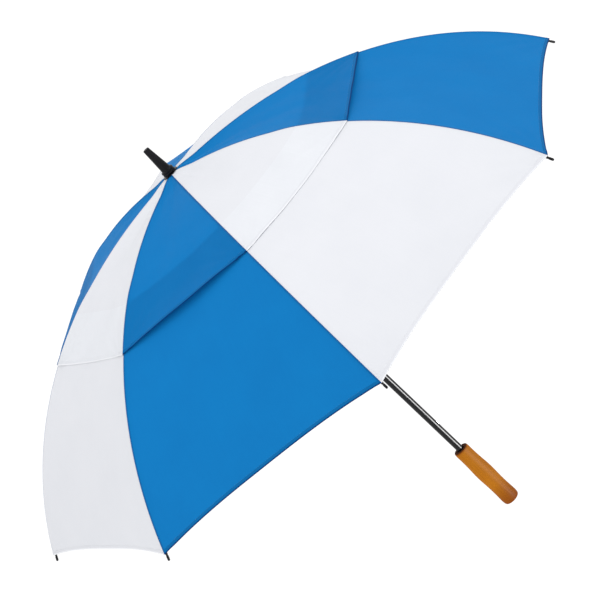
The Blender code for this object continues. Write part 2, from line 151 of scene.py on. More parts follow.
def rib_table():
    """Columns s, slope, radius and drop along the rib line."""
    s = np.linspace(0, RIB_LENGTH + 20 * MM, 8001)
    part = np.clip(s / RIB_LENGTH, 0, 1)
    angle = CROWN_SLOPE + (HEM_SLOPE - CROWN_SLOPE) * part**SLOPE_POWER
    mid = (angle[1:] + angle[:-1]) / 2
    radius = np.concatenate([[0], np.cumsum(np.cos(mid)) * s[1]])
    drop = np.concatenate([[0], np.cumsum(np.sin(mid)) * s[1]])
    return s, angle, radius, drop


RIB_TABLE = rib_table()


def rib_line(s, lift=0.0):
    """(radius, z) at s along a rib, lifted from the lower canopy's surface."""
    stations, angles, radii, drops = RIB_TABLE
    angle = np.interp(s, stations, angles)
    radius = np.interp(s, stations, radii) + lift * np.sin(angle)
    return radius, APEX_Z - VENT_LIFT - np.interp(s, stations, drops) + lift * np.cos(angle)


def rod_line(s, below=0.0):
    radius, z = rib_line(s, -ROD_DEPTH - below)
    return float(radius), float(z)


def slope(s):
    return float(np.interp(s, RIB_TABLE[0], RIB_TABLE[1]))


def half_width(s):
    """Half the straight distance between two ribs at s."""
    return np.interp(s, RIB_TABLE[0], RIB_TABLE[2]) * math.tan(PITCH / 2)


def heights(node):
    """The lowest and the highest z of a CAD node."""
    return [corner.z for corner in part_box(node)]


NOTCH_PIVOT = (PIVOT_RADIUS, rod_line(PIVOT_RADIUS)[1])
STRUT_PIVOT = rod_line(STRUT_STATION, STRUT_OFFSET)
FLEX_PIVOT = rod_line(FLEX_STATION)
RUNNER_PIVOT = (PIVOT_RADIUS, 2 * STRUT_PIVOT[1] - NOTCH_PIVOT[1])


# -------- materials


class Nodes:
    """A material's node tree, with short calls to add and link nodes."""

    def __init__(self, name, **values):
        self.material = bpy.data.materials.new(name)
        self.material.use_nodes = True
        self.tree = self.material.node_tree
        self.shader = self.tree.nodes["Principled BSDF"]
        for socket, value in values.items():
            self.set(self.shader, socket.replace("_", " "), value)

    def set(self, node, socket, value):
        is_color = node.inputs[socket].type == "RGBA"
        node.inputs[socket].default_value = (*value, 1) if is_color else value

    def add(self, kind, settings=(), **values):
        node = self.tree.nodes.new("ShaderNode" + kind)
        for key, value in dict(settings).items():
            setattr(node, key, value)
        for socket, value in values.items():
            name = socket.replace("_", " ")
            key = int(name[2:]) if name.startswith("in") and name[2:].isdigit() else name
            if isinstance(value, bpy.types.NodeSocket):
                self.tree.links.new(value, node.inputs[key])
            else:
                self.set(node, key, value)
        return node

    def maths(self, operation, a, b=0.0):
        return self.add("Math", {"operation": operation}, in0=a, in1=b).outputs[0]

    def place(self, kind, scale):
        """Coordinates, stretched. kind is Object, or a UV map's name."""
        if kind == "Object":
            source = self.add("TexCoord").outputs["Object"]
        else:
            source = self.add("UVMap", {"uv_map": kind}).outputs["UV"]
        return self.add("Mapping", Vector=source, Scale=Vector(scale)).outputs[0]

    def noise(self, kind, stretch, detail=3.0, roughness=0.55):
        where = self.place(kind, stretch)
        made = self.add("TexNoise", Vector=where, Scale=1.0, Detail=detail, Roughness=roughness)
        return made.outputs["Fac"]

    def ramp(self, value, low, high, to_low=0.0, to_high=1.0):
        ends = {"From_Min": low, "From_Max": high, "To_Min": to_low, "To_Max": to_high}
        return self.add("MapRange", Value=value, **ends).outputs[0]

    def mix(self, share, a, b):
        return self.add("Mix", {"data_type": "RGBA"}, in0=share, in6=a, in7=b).outputs[2]

    def feed(self, socket, value):
        self.tree.links.new(value, self.shader.inputs[socket])

    def bump(self, height, strength, distance, after=None):
        made = self.add("Bump", Height=height, Strength=strength, Distance=distance)
        if after:
            self.tree.links.new(after, made.inputs["Normal"])
        return made.outputs[0]


def fabric(name, color, deep, doubled_painted_light, seam, hem_edge_shading, sheen, light_through):
    """Woven polyester: threads both ways, faint streaks and patches, a soft sheen, and some
    of the light from the other side. It is painted lighter on white where the cap lies over
    the lower canopy, painted shade darkens seams and hems where cloth is turned in and a line
    beside each rib, and the hem's edge has painted shading: a shadow line on blue, a highlight
    on white."""
    soft = {"Sheen_Weight": 0.08, "Sheen_Roughness": 0.45, "Sheen_Tint": sheen}
    n = Nodes(name, Specular_IOR_Level=0.03, **soft)
    thread = 0.34 * MM
    warp = n.noise("cloth", (1 / thread, 1 / (14 * MM), 1), detail=1.0)
    weft = n.noise("cloth", (1 / (14 * MM), 1 / thread, 1), detail=1.0)
    weave = n.maths("ADD", warp, weft)
    wave = n.place("cloth", (math.pi / thread, math.pi / thread, 1))
    cell = n.add("SeparateXYZ", Vector=wave)
    crossing = n.maths(
        "MULTIPLY", n.maths("SINE", cell.outputs[0]), n.maths("SINE", cell.outputs[1])
    )
    patches = n.noise("cloth", (9, 9, 9), detail=4.0)
    streaks = n.noise("cloth", (260, 5, 1), detail=2.0)
    down = n.add("SeparateXYZ", Vector=n.place("cloth", (1, 1, 1))).outputs[1]
    first = n.ramp(down, LOWER_START - MM, LOWER_START)
    lapped = n.maths("MULTIPLY", first, n.ramp(down, VENT_HEM, VENT_HEM + MM, 1.0, 0.0))
    # Painted light: a lighter colour where the cap lies over the lower canopy.
    tone = n.mix(lapped, color, doubled_painted_light)
    tone = n.mix(n.ramp(patches, 0.3, 0.7, 0.0, 0.5), tone, deep)
    tone = n.mix(n.ramp(streaks, 0.35, 0.75, 0.0, 0.16), tone, deep)
    tone = n.mix(n.ramp(weave, 0.7, 1.3, 0.0, 0.3), tone, deep)
    edges = n.add("SeparateXYZ", Vector=n.place("edge", (1, 1, 1)))
    in_seam = n.ramp(edges.outputs[0], SEAM_HALF - 0.4 * MM, SEAM_HALF + 0.4 * MM, 1.0, 0.0)
    in_hem = n.ramp(edges.outputs[1], 7.2 * MM, 7.8 * MM, 1.0, 0.0)
    turned_in = n.maths("MAXIMUM", in_seam, in_hem)
    # Painted shade: seams and hems are darkened where cloth is turned in.
    tone = n.mix(n.maths("MULTIPLY", turned_in, 0.25), tone, seam)
    # Painted shade: a darker line within 2.4 mm of each rib, along the seam's groove.
    tone = n.mix(n.ramp(edges.outputs[0], 1.0 * MM, 2.4 * MM, 0.8, 0.0), tone, seam)
    # Painted shading on the hem's edge: a shadow line on blue, a highlight on white.
    tone = n.mix(n.ramp(edges.outputs[1], 1.5 * MM, 3.0 * MM, 0.9, 0.0), tone, hem_edge_shading)
    n.feed("Base Color", tone)
    n.feed("Roughness", n.ramp(weave, 0.6, 1.4, 0.46, 0.62))
    threads = n.bump(weave, 0.35, 0.06 * MM)
    woven = n.bump(crossing, 0.2, 0.04 * MM, threads)
    n.feed("Normal", n.bump(patches, 0.25, 0.6 * MM, woven))
    # The light through turned-in cloth takes a dimmer copy of the painted seam shade.
    dim = tuple(0.4 * c for c in seam)
    through = n.add("BsdfTranslucent", Color=n.mix(turned_in, tone, dim))
    shaders = {"in1": n.shader.outputs[0], "in2": through.outputs[0]}
    both = n.add("MixShader", in0=light_through, **shaders)
    n.tree.links.new(both.outputs[0], n.tree.nodes["Material Output"].inputs["Surface"])
    return n.material


def thread(name, color):
    n = Nodes(name, Roughness=0.55, Sheen_Weight=0.3)
    twist = n.noise("Object", (3000, 3000, 3000), detail=1.0)
    dark = tuple(c * 0.8 for c in color)
    n.feed("Base Color", n.mix(twist, color, dark))
    n.feed("Normal", n.bump(twist, 0.4, 0.05 * MM))
    return n.material


def enamel(name, color, roughness):
    """Gloss paint on steel: a slight orange peel, dust specks and fine rubbed lines."""
    n = Nodes(name, Specular_IOR_Level=0.25)
    peel = n.noise("Object", (260, 260, 160), detail=1.0)
    rubs = n.noise("Object", (1500, 1500, 9), roughness=0.7)
    specks = n.noise("Object", (900, 900, 900), detail=0.0)
    worn = tuple(c * 2.2 + 0.006 for c in color)
    tone = n.mix(n.ramp(rubs, 0.55, 0.8, 0.0, 0.5), color, worn)
    n.feed("Base Color", n.mix(n.ramp(specks, 0.76, 0.82, 0.0, 0.08), tone, (0.2, 0.2, 0.2)))
    n.feed("Roughness", n.ramp(rubs, 0.35, 0.8, roughness, roughness + 0.12))
    n.feed("Normal", n.bump(peel, 0.03, 0.05 * MM))
    return n.material


def plastic(name, color, roughness):
    """Moulded plastic: spark-eroded grain, slight sink marks and rubbed patches."""
    n = Nodes(name, Specular_IOR_Level=0.13)
    grain = n.noise("Object", (2600, 2600, 2600), detail=2.0)
    sink = n.noise("Object", (110, 110, 110), detail=2.0)
    rubs = n.noise("Object", (60, 60, 60), detail=4.0, roughness=0.65)
    worn = tuple(c * 1.9 + 0.003 for c in color)
    n.feed("Base Color", n.mix(n.ramp(rubs, 0.45, 0.75, 0.0, 0.6), color, worn))
    n.feed("Roughness", n.ramp(rubs, 0.3, 0.75, roughness, roughness - 0.12))
    n.feed("Normal", n.bump(grain, 0.25, 0.05 * MM, n.bump(sink, 0.1, 0.3 * MM)))
    return n.material


def metal(name, color, roughness):
    n = Nodes(name, Metallic=1.0)
    drawn = n.noise("Object", (900, 900, 60))
    stain = n.noise("Object", (160, 160, 160))
    dark = tuple(c * 0.6 for c in color)
    n.feed("Base Color", n.mix(n.ramp(stain, 0.45, 0.8, 0.0, 0.7), color, dark))
    n.feed("Roughness", n.ramp(drawn, 0.3, 0.7, roughness - 0.06, roughness + 0.12))
    n.feed("Normal", n.bump(drawn, 0.15, 0.04 * MM))
    return n.material


def fibreglass(name, color):
    """Pultruded rod: fibres along it under a clear resin skin."""
    n = Nodes(name, Specular_IOR_Level=0.5)
    fibres = n.noise("surface", (9000, 22, 1), detail=2.0)
    cloud = n.noise("surface", (200, 30, 1), detail=2.0)
    pale = tuple(c * 2.6 + 0.006 for c in color)
    n.feed("Base Color", n.mix(n.ramp(fibres, 0.4, 0.75, 0.0, 0.8), color, pale))
    n.feed("Roughness", n.ramp(cloud, 0.3, 0.7, 0.24, 0.4))
    n.feed("Normal", n.bump(fibres, 0.2, 0.05 * MM))
    return n.material


def varnished_wood(name, bottom, top):
    """Turned hardwood: growth rings cut lengthways, pores and flecks under varnish, with the
    colour darker towards both ends."""
    n = Nodes(name, Specular_IOR_Level=0.03, Coat_Weight=0.05, Coat_Roughness=0.55)
    bend = n.noise("Object", (22, 22, 5), detail=2.0)
    source = n.add("TexCoord").outputs["Object"]
    scaled = {"operation": "SCALE"}
    shift = n.add("VectorMath", scaled, in0=Vector((1, 0.6, 0)), Scale=bend).outputs[0]
    shift = n.add("VectorMath", scaled, in0=shift, Scale=0.018).outputs[0]
    bent = n.add("VectorMath", {"operation": "ADD"}, in0=source, in1=shift).outputs[0]
    off_centre, along = Vector((0.031, 0.012, 0)), Vector((1, 1, 0.06))
    log = n.add("Mapping", Vector=bent, Location=off_centre, Scale=along)
    rings = n.add(
        "TexWave",
        {"wave_type": "RINGS", "rings_direction": "Z", "wave_profile": "SAW"},
        Vector=log.outputs[0],
        Scale=95.0,
        Distortion=1.6,
        Detail=3.0,
        Detail_Scale=2.0,
    )
    pores = n.noise("Object", (1500, 1500, 55), roughness=0.7)
    flecks = n.noise("Object", (420, 420, 18), detail=2.0)
    cloud = n.noise("Object", (38, 38, 12))
    pale, mid, dark = (0.52, 0.182, 0.009), (0.39, 0.114, 0.003), (0.22, 0.048, 0.001)
    tone = n.mix(n.ramp(rings.outputs["Fac"], 0.1, 0.95, 0.0, 0.5), pale, mid)
    tone = n.mix(n.ramp(cloud, 0.35, 0.75, 0.0, 0.5), tone, mid)
    tone = n.mix(n.ramp(flecks, 0.52, 0.8, 0.0, 0.3), tone, dark)
    tone = n.mix(n.ramp(pores, 0.56, 0.72, 0.0, 0.2), tone, dark)
    height = n.add("SeparateXYZ", Vector=source).outputs[2]
    # The colour darkens towards the bottom and at the top's edge.
    ends = n.maths(
        "MAXIMUM",
        n.ramp(height, bottom + 50 * MM, bottom + 4 * MM, 0.0, 0.75),
        n.ramp(height, top - 4 * MM, top - 0.5 * MM, 0.0, 0.8),
    )
    n.feed("Base Color", n.mix(ends, tone, (0.19, 0.034, 0.004)))
    n.feed("Roughness", n.ramp(pores, 0.5, 0.75, 0.5, 0.62))
    n.feed("Normal", n.bump(pores, 0.05, 0.04 * MM, n.bump(flecks, 0.04, 0.06 * MM)))
    return n.material


def end_grain(name):
    """The handle's sawn end and bore: bare, stained wood with pores."""
    n = Nodes(name, Roughness=0.8, Specular_IOR_Level=0.08)
    pores = n.noise("Object", (1700, 1700, 300), roughness=0.7)
    tone = n.mix(n.ramp(pores, 0.4, 0.7), (0.125, 0.036, 0.010), (0.045, 0.013, 0.004))
    n.feed("Base Color", tone)
    n.feed("Normal", n.bump(pores, 0.3, 0.1 * MM))
    return n.material


def pale_floor():
    glow = {"Emission_Color": (1.0, 1.0, 1.0), "Emission_Strength": 0.78}
    matt = {"Roughness": 0.85, "Specular_IOR_Level": 0.0}
    return Nodes("pale_floor", Base_Color=(0.30, 0.30, 0.30), **matt, **glow).material


# Seam colours are painted shade, doubled ones painted light, hem-edge ones painted shading.
BLUE = fabric(
    "blue_fabric",
    color=(0.0050, 0.178, 0.470),
    deep=(0.0045, 0.150, 0.418),
    doubled_painted_light=(0.0050, 0.178, 0.470),
    seam=(0.0030, 0.080, 0.260),
    hem_edge_shading=(0.0010, 0.028, 0.150),
    sheen=(0.08, 0.4, 1.0),
    light_through=0.2,
)
WHITE = fabric(
    "white_fabric",
    color=(0.664, 0.673, 0.706),
    deep=(0.616, 0.629, 0.665),
    doubled_painted_light=(0.695, 0.712, 0.748),
    seam=(0.599, 0.607, 0.648),
    hem_edge_shading=(0.760, 0.770, 0.800),
    sheen=(1.0, 1.0, 1.0),
    light_through=0.02,
)
BLUE_THREAD = thread("blue_thread", (0.002, 0.168, 0.456))
WHITE_THREAD = thread("white_thread", (0.660, 0.670, 0.700))
ENAMEL = enamel("shaft_enamel", (0.004, 0.004, 0.005), 0.13)
STRUT_ENAMEL = enamel("strut_enamel", (0.008, 0.008, 0.009), 0.26)
PLASTIC = plastic("black_plastic", (0.004, 0.004, 0.0055), 0.36)
STEEL = metal("bright_steel", (0.60, 0.60, 0.61), 0.28)
ROD = fibreglass("rib_fibreglass", (0.012, 0.012, 0.014))
WOOD = varnished_wood("handle_wood", *heights("handle"))
END_GRAIN = end_grain("handle_end_grain")


# -------- mesh helpers


def link(name, data):
    made = bpy.data.objects.new(name, data)
    bpy.context.scene.collection.objects.link(made)
    return made


def smooth(mesh, sharp=38):
    mesh.shade_smooth()
    mesh.set_sharp_from_angle(angle=math.radians(sharp))


def mesh_of(name, points, faces, finish, uv=None):
    mesh = bpy.data.meshes.new(name)
    mesh.from_pydata(np.asarray(points).tolist(), [], faces)
    if uv is not None:
        layer = mesh.uv_layers.new(name="surface")
        layer.data.foreach_set("uv", np.asarray(uv, np.float32).ravel())
    mesh.materials.append(finish)
    smooth(mesh)
    return mesh


def in_mm(points, base=0.0):
    """(radius, height) points in mm, with their heights from base."""
    return [(radius * MM, base + height * MM) for radius, height in points]


def filleted(profile, radius, steps=3, closed=False):
    """The (x, y) outline with its corners rounded, each by at most radius."""
    points = [Vector(p) for p in profile]
    count = len(points)
    made = []
    for i, corner in enumerate(points):
        before, after = points[i - 1] - corner, points[(i + 1) % count] - corner
        at_end = not closed and i in (0, count - 1)
        if at_end or before.angle(after, math.pi) > math.radians(165):
            made.append(corner)
            continue
        reach = min(radius, 0.45 * before.length, 0.45 * after.length)
        a, b = corner + before.normalized() * reach, corner + after.normalized() * reach
        for step in range(steps + 1):
            t = step / steps
            made.append(a * (1 - t) ** 2 + corner * 2 * t * (1 - t) + b * t * t)
    return [tuple(p) for p in made]


def curved(points, per_span):
    """A smooth line through (x, y) points."""
    points = np.array(points)
    padded = np.vstack([2 * points[0] - points[1], points, 2 * points[-1] - points[-2]])
    made = []
    for a, b, c, d in zip(padded, padded[1:], padded[2:], padded[3:]):
        for t in np.arange(per_span) / per_span:
            bend = (2 * a - 5 * b + 4 * c - d) * t**2 + (3 * b - a - 3 * c + d) * t**3
            made.append(tuple(0.5 * (2 * b + (c - a) * t + bend)))
    return made + [tuple(points[-1])]


def turned_mesh(name, profile, steps, finish, closed=False):
    """A shape turned about Z from (radius, z) points that run down its outside. A point on
    the axis becomes one vertex. If closed, the last point is joined to the first."""
    points, rings = [], []
    for radius, z in profile:
        if radius < 1e-7:
            rings.append([len(points)] * steps)
            points.append((0, 0, z))
            continue
        rings.append(list(range(len(points), len(points) + steps)))
        for i in range(steps):
            turn = 2 * math.pi * i / steps
            points.append((radius * math.cos(turn), radius * math.sin(turn), z))
    faces, uv = [], []
    around = 2 * math.pi * SHAFT_RADIUS / steps
    spans = list(zip(range(len(rings)), range(1, len(rings))))
    if closed:
        spans.append((len(rings) - 1, 0))
    for a, b in spans:
        for i in range(steps):
            j = (i + 1) % steps
            corners = [(rings[a][i], i, a), (rings[b][i], i, b)]
            corners += [(rings[b][j], i + 1, b), (rings[a][j], i + 1, a)]
            kept = {}
            for corner in corners:
                kept.setdefault(corner[0], corner)
            faces.append(list(kept))
            uv += [(k[1] * around, profile[k[2]][1]) for k in kept.values()]
    return mesh_of(name, points, faces, finish, uv)


def swept_mesh(name, path, radii, sides, finish):
    """A round rod along (x, z) points with a radius at each, closed at both ends."""
    path = np.array(path)
    along = np.gradient(path, axis=0)
    along /= np.linalg.norm(along, axis=1)[:, None]
    lengths = np.concatenate([[0], np.cumsum(np.linalg.norm(np.diff(path, axis=0), axis=1))])
    turn = 2 * np.pi * np.arange(sides) / sides
    points = np.zeros((len(path), sides, 3))
    out = np.array(radii)[:, None] * np.sin(turn)[None, :]
    points[..., 0] = path[:, :1] - along[:, 1:] * out
    points[..., 2] = path[:, 1:] + along[:, :1] * out
    points[..., 1] = np.array(radii)[:, None] * np.cos(turn)[None, :]
    faces, uv = [], []
    around = 2 * np.pi * ROD_RADIUS / sides
    for i in range(len(path) - 1):
        for j in range(sides):
            k = (j + 1) % sides
            a, b = i * sides, (i + 1) * sides
            faces.append([a + j, a + k, b + k, b + j])
            uv += [(j * around, lengths[i]), ((j + 1) * around, lengths[i])]
            uv += [((j + 1) * around, lengths[i + 1]), (j * around, lengths[i + 1])]
    faces.append(list(range(sides))[::-1])
    faces.append([(len(path) - 1) * sides + j for j in range(sides)])
    uv += [(0, 0)] * (2 * sides)
    return mesh_of(name, points.reshape(-1, 3), faces, finish, uv)


def plate_mesh(name, outline, low, high, finish, bevel=0.0):
    """An outline of (x, z) points made into a plate from y = low to y = high."""
    outline = list(outline)
    if sum(a[0] * b[1] - b[0] * a[1] for a, b in zip(outline, outline[1:] + outline[:1])) < 0:
        outline.reverse()
    layers = [(low, bevel), (low + bevel, 0), (high - bevel, 0), (high, bevel)]
    if not bevel:
        layers = [(low, 0), (high, 0)]
    centre = np.mean(outline, axis=0)
    points = []
    for y, inset in layers:
        for x, z in outline:
            away = np.array((x, z)) - centre
            x, z = np.array((x, z)) - away / np.linalg.norm(away) * inset
            points.append((x, y, z))
    count = len(outline)
    faces = [list(range(count))]
    faces.append([(len(layers) - 1) * count + i for i in range(count)][::-1])
    for layer in range(len(layers) - 1):
        for i in range(count):
            j = (i + 1) % count
            a, b = layer * count, (layer + 1) * count
            faces.append([a + j, a + i, b + i, b + j])
    return mesh_of(name, points, faces, finish)


def capsule(a, b, radius, steps=8):
    """The outline of a rounded bar between two (x, z) points."""
    a, b = Vector(a), Vector(b)
    along = (b - a).normalized() if (b - a).length > 1e-9 else Vector((1, 0))
    aside = Vector((-along.y, along.x))
    made = []
    for centre, start in ((b, -1), (a, 1)):
        for step in range(steps + 1):
            turn = math.pi * step / steps
            edge = math.cos(turn) * aside - math.sin(turn) * along
            made.append(centre + radius * start * edge)
    return [tuple(p) for p in made]


def box_mesh(low, high, turn=0.0):
    outline = [(low[0], low[2]), (high[0], low[2]), (high[0], high[2]), (low[0], high[2])]
    mesh = plate_mesh("box", outline, low[1], high[1], PLASTIC)
    mesh.transform(Matrix.Rotation(turn, 4, "Z"))
    return mesh


def pin_mesh(radius, half, finish, centre=(0, 0), head=0.0):
    """A pin along Y with rounded ends, or with a low domed head at each end."""
    if head:
        profile = [(0, half + 0.5 * MM), (head * 0.55, half + 0.42 * MM)]
        profile += [(head * 0.9, half + 0.2 * MM), (head, half), (radius, half - 0.02 * MM)]
    else:
        profile = [(0, half), (radius - 0.2 * MM, half), (radius, half - 0.2 * MM)]
    profile += [(r, -z) for r, z in reversed(profile)]
    mesh = turned_mesh("pin", profile, 24, finish)
    mesh.transform(Matrix.Rotation(math.pi / 2, 4, "X"))
    mesh.transform(Matrix.Translation((centre[0], 0, centre[1])))
    return mesh


def joined(name, base, others, operation="UNION"):
    """One closed mesh from several, which are used up."""
    obj = link(name, base)
    helpers = [link("helper", mesh) for mesh in others]
    for helper in helpers:
        change = obj.modifiers.new("join", "BOOLEAN")
        change.operation = operation
        change.solver = "EXACT"
        change.object = helper
    bpy.context.view_layer.update()
    seen = obj.evaluated_get(bpy.context.evaluated_depsgraph_get())
    mesh = bpy.data.meshes.new_from_object(seen)
    mesh.name = name
    smooth(mesh)
    for used in [obj, *helpers]:
        bpy.data.objects.remove(used)
    return mesh


def place(name, mesh, body, slot_name, nodes=(), rib=None, point=(0.0, 0.0), tilt=0.0):
    """Puts a piece in place and lets it ride. With rib it lies in that rib's plane."""
    made = link(name, mesh)
    if rib is not None:
        turn = rib * PITCH
        made.location = (point[0] * math.cos(turn), point[0] * math.sin(turn), point[1])
        made.rotation_euler = (0, tilt, turn)
    if nodes:
        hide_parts(*nodes)
    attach(made, body)


def on_ribs(name, mesh, body, slot_name, point, tilt=0.0, node=None):
    """The same piece on every rib. Its name, body and node end in the rib's number."""
    for rib in range(RIBS):
        n = rib + 1
        nodes = [f"{node}_{n}"] if node else []
        place(f"{name}_{n}", mesh, f"{body}_{n}", slot_name, nodes, rib, point, tilt)


# -------- canopy

# How far the cap's hem stands off, or sinks, at the middle of each panel
VENT_BILLOW = [mm * MM for mm in (-0.6, 10, -0.6, 11, -0.6, 11, -0.6, 10)]
# Each layer runs from start to end along the ribs. The lower canopy is split under the cap,
# where the ribs bend, so that each part can ride on the rod that carries it. gather is the
# tilt in degrees, the share of the width kept, and the anchor's shift outwards.
LOWER = dict(node="canopy_lower", corner=RIB_LENGTH, billow=[0.0] * RIBS, scallop=SCALLOP)
CAP = dict(node="canopy_vent", corner=VENT_HEM, billow=VENT_BILLOW, scallop=0.0)
LAYERS = {
    "vent_cap": dict(
        CAP, body="rib_", start=9 * MM, end=VENT_HEM, hem=True, gather=(17, 0.1, -16 * MM)
    ),
    "canopy_upper": dict(
        LOWER, body="rib_", start=LOWER_START, end=FLEX_STATION, hem=False, gather=(14, 0.115, 0)
    ),
    "canopy_outer": dict(
        LOWER, body="rib_end_", start=FLEX_STATION, end=RIB_LENGTH, hem=True,
        gather=(20, 0.075, -14 * MM),
    ),
}
ROW_STEP = 6 * MM
COLUMNS = 26
# (distance back from the edge, height over the cloth) of the hem's folded edge, in mm
HEM_FOLD = [(8.6, 0), (7.7, -0.1), (7.1, 0.02), (6.4, 0.2), (4.0, 0.24), (1.6, 0.22)]
HEM_FOLD += [(0.5, 0.14), (0.0, -0.1), (0.4, -0.36), (1.6, -0.42), (6.6, -0.42), (7.2, -0.2)]


def smooth_step(x, low, high):
    t = np.clip((x - low) / (high - low), 0, 1)
    return t * t * (3 - 2 * t)


def panel_folds(panel, s, across, end):
    """Height of the slack and the tension folds in a panel. There are none along its ribs,
    and both halves of a panel agree where they meet."""
    rng = np.random.default_rng(100 + panel)
    share = 1 - across**2
    height = np.zeros(np.broadcast(s, across).shape)
    for _ in range(5):
        along, over = rng.uniform(1.5, 4), rng.uniform(1.5, 4)
        phase, tilt = rng.uniform(0, 2 * math.pi), rng.uniform(-1.5, 1.5)
        wave = np.sin(2 * math.pi * (along * s / RIB_LENGTH + tilt * across) + phase)
        height += SLACK * wave * np.cos(over * across + phase) * share
    for corner in (-1, 1):
        aside = (1 - corner * across) * half_width(s)
        back = np.maximum(end - s, 0) + 6 * MM
        reach, direction = np.hypot(aside, back), np.arctan2(aside, back)
        folds = np.sin(direction * rng.uniform(13, 17) + rng.uniform(0, 6))
        strength = CORNER_FOLD * np.exp(-reach / (70 * MM)) * smooth_step(direction, 0.02, 0.25)
        height += folds * strength * np.minimum(1, reach / (12 * MM))
    return height


def panel_of(rib, side):
    return rib if side > 0 else (rib - 1) % RIBS


def cap_height(s, share):
    """Height of the vent's cap over the lower canopy's surface. It starts on the notch, sinks
    to the rods, then climbs over the lower canopy's inner edge."""
    sunk = CAP_SINK * smooth_step(s, 14 * MM, 60 * MM)
    climbed = CAP_CLIMB * smooth_step(s, 235 * MM, 296 * MM)
    sag = smooth_step(s, 20 * MM, 70 * MM) * (1 - smooth_step(s, 90 * MM, 230 * MM))
    return VENT_LIFT - sunk + climbed - CAP_SAG * share * sag


def cloth_points(layer, rib, side, s, u, hem=0.0):
    """Points on a half panel, their places on the cloth, and their distances from its seam
    and its hem. s runs down it, and u from 0 at the rib to 1 at mid-panel."""
    across = -side * (1 - u)
    share = 1 - across**2
    ramp = np.maximum(0, (s - SCALLOP_FROM) / (RIB_LENGTH - SCALLOP_FROM))
    cut = s - layer["scallop"] * (1 - abs(across) ** SCALLOP_POWER) * ramp
    height = -PANEL_DIP * share * np.sin(math.pi * np.minimum(cut / RIB_LENGTH, 1))
    if layer["node"] == "canopy_vent":
        height = height + cap_height(s, share)
    from_rib = u * half_width(s)
    seam = SEAM_HEIGHT * (1 - smooth_step(from_rib, SEAM_HALF - 0.8 * MM, SEAM_HALF + 0.8 * MM))
    seam -= SEAM_GROOVE * (1 - smooth_step(from_rib, 0, 0.9 * MM))
    seam *= smooth_step(s, 14 * MM, 40 * MM)
    flare = layer["billow"][panel_of(rib, side)] * share
    flare = flare * smooth_step(s, layer["end"] - 60 * MM, layer["end"] + 8 * MM)
    folds = panel_folds(panel_of(rib, side), cut, across, layer["corner"])
    radius, z = rib_line(cut, height + seam + hem + flare + folds)
    radius = radius * math.cos(PITCH / 2) / np.cos((1 - u) * PITCH / 2)
    turn = rib * PITCH + side * u * PITCH / 2
    points = np.stack([radius * np.cos(turn), radius * np.sin(turn), z], axis=-1)
    shape = across.shape
    flat = np.stack([across * half_width(s), np.broadcast_to(cut, shape)], axis=-1)
    from_hem = layer["end"] - s if layer["hem"] else np.ones_like(s)
    edge = np.stack([from_rib, np.broadcast_to(from_hem, shape)], axis=-1)
    return points, flat, edge


def seam_columns(s):
    """Shares of the way from the rib to mid-panel, close together over the seam."""
    width = half_width(s)[:, None]
    near = np.array([0, 0.35 * MM, MM, SEAM_HALF - 0.8 * MM, SEAM_HALF, SEAM_HALF + 0.8 * MM])
    close = near[None, :] * np.minimum(1, width / (9 * MM)) / width
    last = close[:, -1:]
    return np.hstack([close, last + (1 - last) * np.linspace(0, 1, COLUMNS + 1)[None, 1:]])


def cloth_rows(layer):
    """s and height of each row: even down the panel, then over and under the folded hem."""
    body_end = layer["end"] - (HEM_WIDTH if layer["hem"] else 0)
    count = round((body_end - layer["start"]) / ROW_STEP)
    rows = [(s, 0.0) for s in np.linspace(layer["start"], body_end, count + 1)]
    if layer["hem"]:
        rows += [(layer["end"] - back * MM, height * MM) for back, height in HEM_FOLD]
    return np.array(rows)


def stitches(layer, rib, side, s, u):
    """Short raised threads at points down or across a half panel, as (points, faces)."""
    where = cloth_points(layer, rib, side, s, u)[0]
    down = cloth_points(layer, rib, side, s + MM, u)[0]
    aside = cloth_points(layer, rib, side, s, u + MM / half_width(s))[0]
    normal = np.cross(down - where, aside - where) * side
    normal /= np.linalg.norm(normal, axis=1)[:, None]
    step = np.linalg.norm(np.diff(where, axis=0), axis=1)
    lengths = np.concatenate([[0], np.cumsum(step)])
    starts = np.arange(0.5 * STITCH_PITCH, lengths[-1] - STITCH, STITCH_PITCH)

    def along(at, values):
        return np.stack([np.interp(at, lengths, values[:, i]) for i in range(3)], axis=1)

    a, b, up = along(starts, where), along(starts + STITCH, where), along(starts, normal)
    beside = np.cross(b - a, up)
    beside /= np.linalg.norm(beside, axis=1)[:, None]
    middle = (a + b) / 2
    rows = [a - 0.1 * MM * up, b - 0.1 * MM * up]
    rows += [middle + 0.17 * MM * beside, middle + 0.15 * MM * up]
    rows += [middle - 0.17 * MM * beside, middle - 0.15 * MM * up]
    points = np.stack(rows, axis=1).reshape(-1, 3)
    faces = []
    for i in range(len(starts)):
        first = 6 * i
        for j in range(4):
            p, q = first + 2 + j, first + 2 + (j + 1) % 4
            faces += [[first, q, p], [first + 1, p, q]]
    return points, faces


def stitch_lines(layer):
    """(s, u) of each sewn line: beside the rib, and along the hem."""
    stop = layer["end"] - (HEM_WIDTH if layer["hem"] else 0)
    s = np.linspace(max(layer["start"], 45 * MM), stop, 260)
    lines = [(s, SEWN_FROM_RIB / half_width(s))]
    if layer["hem"]:
        u = np.linspace(0.02, 1, 160)
        lines.append((np.full(160, layer["end"] - SEWN_FROM_HEM), u))
    return lines


